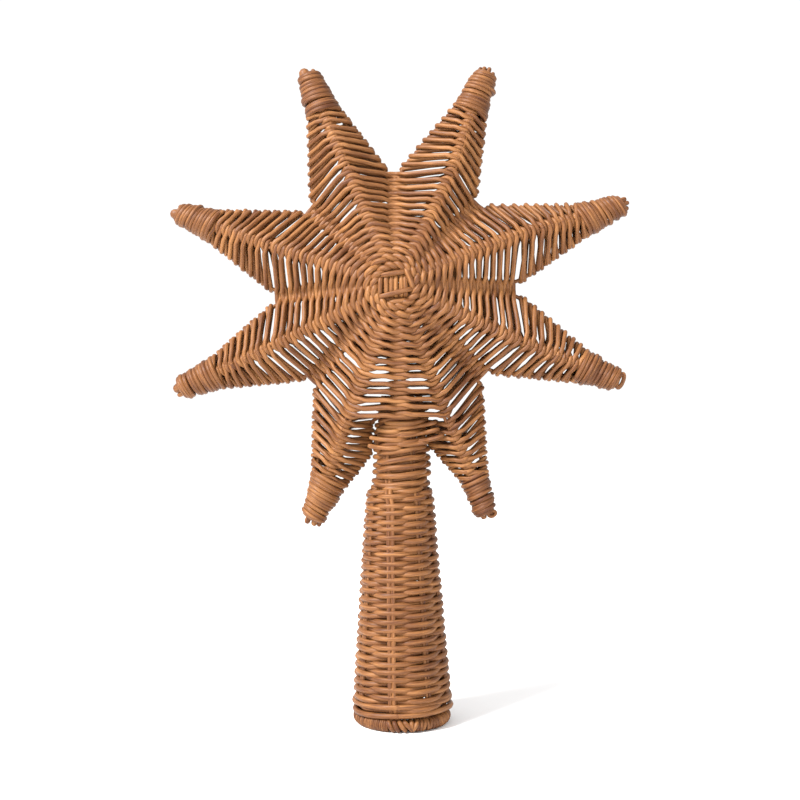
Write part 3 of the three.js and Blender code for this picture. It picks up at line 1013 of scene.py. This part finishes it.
class Tree:
    """Short calls to build a node tree."""

    def __init__(self, tree):
        self.tree = tree

    def node(self, kind, **settings):
        """A new node with those settings."""
        made = self.tree.nodes.new(kind)
        for key, value in settings.items():
            setattr(made, key, value)
        return made

    def link(self, out, into):
        """Joins an output to an input."""
        self.tree.links.new(out, into)

    def math(self, operation, first, second):
        """The result of an operation on two numbers or outputs."""
        made = self.node("ShaderNodeMath", operation=operation)
        for socket, value in zip(made.inputs, (first, second)):
            if isinstance(value, (int, float)):
                socket.default_value = value
            else:
                self.link(value, socket)
        return made.outputs[0]

    def named(self, name):
        """A number that each point has under a name."""
        made = self.node("GeometryNodeInputNamedAttribute", data_type="FLOAT")
        made.inputs["Name"].default_value = name
        return made.outputs["Attribute"]

    def keep(self, name, geometry, value, kind="FLOAT"):
        """The geometry with a value kept under a name at each point."""
        made = self.node("GeometryNodeStoreNamedAttribute", data_type=kind, domain="POINT")
        made.inputs["Name"].default_value = name
        self.link(geometry, made.inputs["Geometry"])
        self.link(value, made.inputs["Value"])
        return made.outputs[0]


def strand_tree():
    """Turns lines into round strands. Each vertex keeps where it lies along and around its strand."""
    group = bpy.data.node_groups.new(STRAND_TREE, "GeometryNodeTree")
    sockets = group.interface
    sockets.new_socket("Geometry", in_out="INPUT", socket_type="NodeSocketGeometry")
    for name, kind, default in (
        ("Sides", "NodeSocketInt", 8),
        ("Swell", "NodeSocketFloat", 0.1),
        ("Swell scale", "NodeSocketFloat", 90.0),
        ("Seed", "NodeSocketInt", 0),
    ):
        socket = sockets.new_socket(name, in_out="INPUT", socket_type=kind)
        socket.default_value = default
    sockets.new_socket("Material", in_out="INPUT", socket_type="NodeSocketMaterial")
    sockets.new_socket("Geometry", in_out="OUTPUT", socket_type="NodeSocketGeometry")
    tree = Tree(group)
    given = tree.node("NodeGroupInput").outputs

    curve = tree.node("GeometryNodeMeshToCurve")
    tree.link(given["Geometry"], curve.inputs[0])
    along = tree.node("GeometryNodeSplineParameter")
    line = tree.keep("along", curve.outputs[0], along.outputs["Length"])

    uneven = tree.node("ShaderNodeTexNoise", noise_dimensions="4D")
    tree.link(given["Swell scale"], uneven.inputs["Scale"])
    tree.link(given["Seed"], uneven.inputs["W"])
    centred = tree.math("SUBTRACT", uneven.outputs[0], 0.5)
    swell = tree.math("MULTIPLY", centred, given["Swell"])
    factor = tree.math("ADD", tree.math("MULTIPLY", swell, 2.0), 1.0)
    half = tree.math("MULTIPLY", tree.named("thickness"), 0.5)
    set_radius = tree.node("GeometryNodeSetCurveRadius")
    tree.link(line, set_radius.inputs["Curve"])
    tree.link(tree.math("MULTIPLY", half, factor), set_radius.inputs["Radius"])

    section = tree.node("GeometryNodeCurvePrimitiveCircle")
    section.inputs["Radius"].default_value = 1.0
    tree.link(given["Sides"], section.inputs["Resolution"])
    around = tree.node("GeometryNodeSplineParameter")
    profile = tree.keep("around", section.outputs["Curve"], around.outputs["Factor"])

    sweep = tree.node("GeometryNodeCurveToMesh")
    sweep.inputs["Fill Caps"].default_value = True
    tree.link(set_radius.outputs[0], sweep.inputs["Curve"])
    tree.link(profile, sweep.inputs["Profile Curve"])
    tree.link(tree.node("GeometryNodeInputRadius").outputs[0], sweep.inputs["Scale"])

    turn = tree.math("MULTIPLY", tree.named("around"), TURN)
    apart = tree.math("MULTIPLY", tree.named("tone"), STRANDS_APART)
    grain = tree.node("ShaderNodeCombineXYZ")
    tree.link(tree.math("ADD", tree.named("along"), apart), grain.inputs["X"])
    tree.link(tree.math("COSINE", turn, 0.0), grain.inputs["Y"])
    tree.link(tree.math("SINE", turn, 0.0), grain.inputs["Z"])
    strands = tree.keep("grain", sweep.outputs[0], grain.outputs[0], kind="FLOAT_VECTOR")

    smooth = tree.node("GeometryNodeSetShadeSmooth")
    tree.link(strands, smooth.inputs["Geometry"])
    realize = tree.node("GeometryNodeRealizeInstances")
    tree.link(smooth.outputs[0], realize.inputs[0])
    finish = tree.node("GeometryNodeSetMaterial")
    tree.link(realize.outputs[0], finish.inputs["Geometry"])
    tree.link(given["Material"], finish.inputs["Material"])
    result = tree.node("NodeGroupOutput")
    tree.link(finish.outputs[0], result.inputs["Geometry"])
    return group


def set_inputs(modifier, values):
    """Sets a modifier's inputs, by the identifiers of the sockets with those names."""
    for item in modifier.node_group.interface.items_tree:
        if item.item_type == "SOCKET" and item.in_out == "INPUT" and item.name in values:
            modifier[item.identifier] = values[item.name]


def strand_piece(name, lines, finish, node):
    """Makes one piece of round strands from its lines, which stands for a solid or a part of it."""
    rattan = bpy.context.scene.topper_rattan
    mesh = bpy.data.meshes.new(name + "_lines")
    mesh.from_pydata(lines.points, lines.edges, [])
    for attribute, values in (("thickness", lines.thickness), ("tone", lines.tone)):
        made = mesh.attributes.new(attribute, "FLOAT", "POINT")
        made.data.foreach_set("value", np.array(values, np.float32))
    piece = bpy.data.objects.new(name, mesh)
    bpy.context.scene.collection.objects.link(piece)
    modifier = piece.modifiers.new(STRAND_TREE, "NODES")
    modifier.node_group = bpy.data.node_groups.get(STRAND_TREE) or strand_tree()
    inputs = {"Sides": rattan.sides, "Swell": rattan.swell, "Seed": rattan.seed}
    set_inputs(modifier, inputs | {"Material": rattan_material(finish)})
    bpy.context.view_layer.update()
    graph = bpy.context.evaluated_depsgraph_get()
    finished = bpy.data.meshes.new_from_object(piece.evaluated_get(graph))
    finished.name = name
    piece.modifiers.clear()
    piece.data = finished
    bpy.data.meshes.remove(mesh)
    for attribute in ("along", "around", "thickness"):
        finished.attributes.remove(finished.attributes[attribute])
    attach(piece, "root")
    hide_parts(node)


# Materials


def mapped(tree, vector, scale):
    """A vector stretched along its axes."""
    made = tree.node("ShaderNodeMapping")
    made.inputs["Scale"].default_value = scale
    tree.link(vector, made.inputs["Vector"])
    return made.outputs[0]


def noise(tree, vector, scale, detail, roughness=0.5):
    """The value of a noise texture."""
    made = tree.node("ShaderNodeTexNoise")
    for name, value in (("Scale", scale), ("Detail", detail), ("Roughness", roughness)):
        made.inputs[name].default_value = value
    tree.link(vector, made.inputs["Vector"])
    return made.outputs[0]


def rattan_material(name):
    """Rattan core or peel: honey tones from strand to strand, fibres along it and a satin skin."""
    found = bpy.data.materials.get(name)
    if found:
        return found
    colours = bpy.context.scene.topper_colours
    rougher, darker_tone_and_shade = FINISHES[name]
    roughness = colours.roughness + rougher
    material = bpy.data.materials.new(name)
    material.use_nodes = True
    tree = Tree(material.node_tree)
    shader = material.node_tree.nodes["Principled BSDF"]
    grain = tree.node("ShaderNodeAttribute", attribute_type="GEOMETRY", attribute_name="grain")
    grain = grain.outputs["Vector"]
    tone = tree.node("ShaderNodeAttribute", attribute_type="GEOMETRY", attribute_name="tone")
    place = tree.node("ShaderNodeTexCoord").outputs["Object"]

    fibres = noise(tree, mapped(tree, grain, FIBRE_STRETCH), 1.6, 4.0, 0.6)
    patches = noise(tree, mapped(tree, grain, PATCH_STRETCH), 1.0, 2.0)
    blotches = noise(tree, place, 45.0, 3.0)
    fine = noise(tree, place, 900.0, 2.0)

    total = tree.math("MULTIPLY", tone.outputs["Fac"], TONE_WEIGHT)
    for pattern, weight in ((patches, PATCH_WEIGHT), (fibres, FIBRE_WEIGHT), (blotches, BLOTCH_WEIGHT)):
        total = tree.math("ADD", total, tree.math("MULTIPLY", pattern, weight))
    # Shifts the ramp towards darker, redder tones; on the cane this is painted shade for the grooves
    # between its turns
    value = tree.math("SUBTRACT", total, RAMP_OFFSET + darker_tone_and_shade)
    ramp = tree.node("ShaderNodeValToRGB")
    stops = ramp.color_ramp.elements
    stops[0].position, stops[0].color = 0.28, (*colours.dark, 1)
    stops[1].position, stops[1].color = 0.8, (*colours.light, 1)
    middle = stops.new(0.54)
    middle.color = (*colours.middle, 1)
    tree.link(value, ramp.inputs[0])
    tree.link(ramp.outputs["Color"], shader.inputs["Base Color"])

    rough = tree.node("ShaderNodeMapRange")
    rough.inputs["To Min"].default_value = roughness - 0.1
    rough.inputs["To Max"].default_value = roughness + 0.16
    tree.link(fibres, rough.inputs["Value"])
    tree.link(rough.outputs["Result"], shader.inputs["Roughness"])
    shader.inputs["Specular IOR Level"].default_value = 0.19
    shader.inputs["Coat Weight"].default_value = 0.04
    shader.inputs["Coat Roughness"].default_value = 0.32

    bump = tree.node("ShaderNodeBump")
    bump.inputs["Strength"].default_value = 0.7
    bump.inputs["Distance"].default_value = 0.35 * MM
    height = tree.math("ADD", tree.math("MULTIPLY", fine, 0.35), fibres)
    tree.link(height, bump.inputs["Height"])
    tree.link(bump.outputs["Normal"], shader.inputs["Normal"])
    return material


# What the operators share


def seeded(context, number):
    """Random numbers for one piece, the same in every run."""
    return np.random.default_rng(context.scene.topper_rattan.seed * 100 + number)


def camera_place(stage):
    """Where the camera stands: turned to the right round the star's axis."""
    turn = math.radians(stage.azimuth)
    aside = stage.aside + stage.distance * math.sin(turn)
    return np.array([aside, -stage.distance * math.cos(turn), stage.eye])


def star_form(context):
    """The star's form from the sizes in the sidebar."""
    scene = context.scene
    viewer = camera_place(scene.topper_stage)
    return Star(scene.topper_star, scene.topper_rattan, Sleeve(scene.topper_sleeve), viewer)


# Operators


class TOPPER_OT_star_faces(Operator):
    """Weave the front and the back of the star, from its centre to its notches"""

    bl_idname = "topper.star_faces"
    bl_label = "Star faces"

    def execute(self, context):
        rattan = context.scene.topper_rattan
        star = star_form(context)
        for name, side, number in (("star_front", FRONT, 1), ("star_back", BACK, 2)):
            lines = weave_star_side(star, side, rattan, seeded(context, number))
            strand_piece(name, lines, "Rattan core", "star")
        return {"FINISHED"}


class TOPPER_OT_star_arms(Operator):
    """Weave the rings round the eight arms"""

    bl_idname = "topper.star_arms"
    bl_label = "Star arms"

    def execute(self, context):
        rattan = context.scene.topper_rattan
        star = star_form(context)
        for name, arms, number in (("upper_arms", range(0, 4), 3), ("lower_arms", range(4, 8), 4)):
            rng = seeded(context, number)
            lines = Lines(rng)
            for arm in arms:
                weave_arm(star, arm, rattan, rng, lines)
            if name == "upper_arms":
                close_notches(star, rattan, rng, lines)
            strand_piece(name, lines, "Rattan core", "star")
        return {"FINISHED"}


class TOPPER_OT_star_stakes(Operator):
    """Lay the stakes inside the star's weave and the crossed stakes in its centre"""

    bl_idname = "topper.star_stakes"
    bl_label = "Star stakes"

    def execute(self, context):
        rattan = context.scene.topper_rattan
        star = star_form(context)
        lines = star_stakes(star, rattan, seeded(context, 5))
        strand_piece("star_stakes", lines, "Rattan stake", "star")
        lines = centre_cross(star, seeded(context, 6))
        strand_piece("star_cross", lines, "Rattan core", "star")
        return {"FINISHED"}


class TOPPER_OT_sleeve(Operator):
    """Weave the sleeve on its double stakes"""

    bl_idname = "topper.sleeve"
    bl_label = "Sleeve"

    def execute(self, context):
        rattan = context.scene.topper_rattan
        sleeve = Sleeve(context.scene.topper_sleeve)
        lines = weave_sleeve(sleeve, rattan, seeded(context, 7))
        strand_piece("sleeve_strands", lines, "Rattan core", "socket_tube")
        lines = neck_lacing(sleeve, rattan, seeded(context, 10))
        strand_piece("neck_lacing", lines, "Rattan core", "socket_tube")
        lines = sleeve_stakes(sleeve, rattan, seeded(context, 8))
        strand_piece("sleeve_stakes", lines, "Rattan stake", "socket_tube")
        return {"FINISHED"}


class TOPPER_OT_foot(Operator):
    """Wind the cane round the foot ring"""

    bl_idname = "topper.foot"
    bl_label = "Foot"

    def execute(self, context):
        lines = foot_wraps(context.scene.topper_foot, seeded(context, 9))
        strand_piece("foot_whipping", lines, "Rattan cane", "foot_border")
        return {"FINISHED"}


class TOPPER_OT_bindings(Operator):
    """Wind the cane round the ends of the eight arms"""

    bl_idname = "topper.bindings"
    bl_label = "Arm bindings"

    def execute(self, context):
        star = star_form(context)
        for arm in range(ARMS):
            lines = tip_winding(star, context.scene.topper_binding, arm, seeded(context, 20 + arm))
            name, node = f"tip_winding_{arm + 1}", f"tip_binding_{arm + 1}"
            strand_piece(name, lines, "Rattan cane", node)
        return {"FINISHED"}


class TOPPER_OT_stage(Operator):
    """Set up the camera, the pale floor and the soft lights"""

    bl_idname = "topper.stage"
    bl_label = "Stage"

    def execute(self, context):
        scene = context.scene
        stage = scene.topper_stage
        self.add_camera(scene, stage)
        self.add_floor(scene, stage)
        self.add_world(scene)
        self.add_light(scene, "Key", (-1.05, -0.85, 1.42), 0.6, 92.0)
        self.add_light(scene, "Fill", (0.35, -1.15, 0.08), 0.5, 10.0)
        return {"FINISHED"}

    def add_camera(self, scene, stage):
        data = bpy.data.cameras.new("Camera")
        data.lens = stage.lens
        data.sensor_width = 36.0
        camera = bpy.data.objects.new("Camera", data)
        camera.location = camera_place(stage)
        camera.rotation_euler = (math.pi / 2, 0.0, math.radians(stage.azimuth))
        scene.collection.objects.link(camera)
        scene.camera = camera

    def add_floor(self, scene, stage):
        mesh = bpy.data.meshes.new("floor")
        corners = 96
        points = [
            (stage.floor * math.cos(TURN * i / corners), stage.floor * math.sin(TURN * i / corners), 0.0)
            for i in range(corners)
        ]
        mesh.from_pydata(points, [], [tuple(range(corners))])
        floor = bpy.data.objects.new("floor", mesh)
        material = bpy.data.materials.new("Pale floor")
        material.use_nodes = True
        shader = material.node_tree.nodes["Principled BSDF"]
        shader.inputs["Base Color"].default_value = (0.95, 0.95, 0.95, 1)
        shader.inputs["Roughness"].default_value = 0.9
        shader.inputs["Specular IOR Level"].default_value = 0.1
        mesh.materials.append(material)
        scene.collection.objects.link(floor)

    def add_world(self, scene):
        world = bpy.data.worlds.new("White room")
        world.use_nodes = True
        background = world.node_tree.nodes["Background"]
        background.inputs["Color"].default_value = (1, 1, 1, 1)
        background.inputs["Strength"].default_value = 1.06
        scene.world = world
        scene.view_settings.view_transform = "Standard"

    def add_light(self, scene, name, place, size, power):
        data = bpy.data.lights.new(name, "AREA")
        data.shape = "DISK"
        data.size = size
        data.energy = power
        lamp = bpy.data.objects.new(name, data)
        lamp.location = place
        aim = Vector((0.0, 0.0, 0.19)) - Vector(place)
        lamp.rotation_euler = aim.to_track_quat("-Z", "Y").to_euler()
        scene.collection.objects.link(lamp)


class TOPPER_PT_sidebar(Panel):
    """Lists the steps that make the topper"""

    bl_idname = "TOPPER_PT_sidebar"
    bl_label = "Rattan Star Topper"
    bl_space_type = "VIEW_3D"
    bl_region_type = "UI"
    bl_category = "Topper"

    def draw(self, context):
        for step in STEPS:
            self.layout.operator(step.bl_idname)


STEPS = (
    TOPPER_OT_stage,
    TOPPER_OT_star_faces,
    TOPPER_OT_star_arms,
    TOPPER_OT_star_stakes,
    TOPPER_OT_sleeve,
    TOPPER_OT_foot,
    TOPPER_OT_bindings,
)

SETTINGS = {
    "topper_rattan": RattanSizes,
    "topper_star": StarSizes,
    "topper_sleeve": SleeveSizes,
    "topper_foot": FootSizes,
    "topper_binding": BindingSizes,
    "topper_colours": RattanColours,
    "topper_stage": StageSizes,
}


def register():
    for name, group in SETTINGS.items():
        bpy.utils.register_class(group)
        setattr(bpy.types.Scene, name, PointerProperty(type=group))
    for made in (*STEPS, TOPPER_PT_sidebar):
        bpy.utils.register_class(made)


def unregister():
    for made in reversed((*STEPS, TOPPER_PT_sidebar)):
        bpy.utils.unregister_class(made)
    for name, group in reversed(list(SETTINGS.items())):
        delattr(bpy.types.Scene, name)
        bpy.utils.unregister_class(group)


def main():
    register()
    bpy.ops.topper.stage()
    bpy.ops.topper.star_faces()
    bpy.ops.topper.star_arms()
    bpy.ops.topper.star_stakes()
    bpy.ops.topper.sleeve()
    bpy.ops.topper.foot()
    bpy.ops.topper.bindings()


if __name__ == "__main__":
    main()
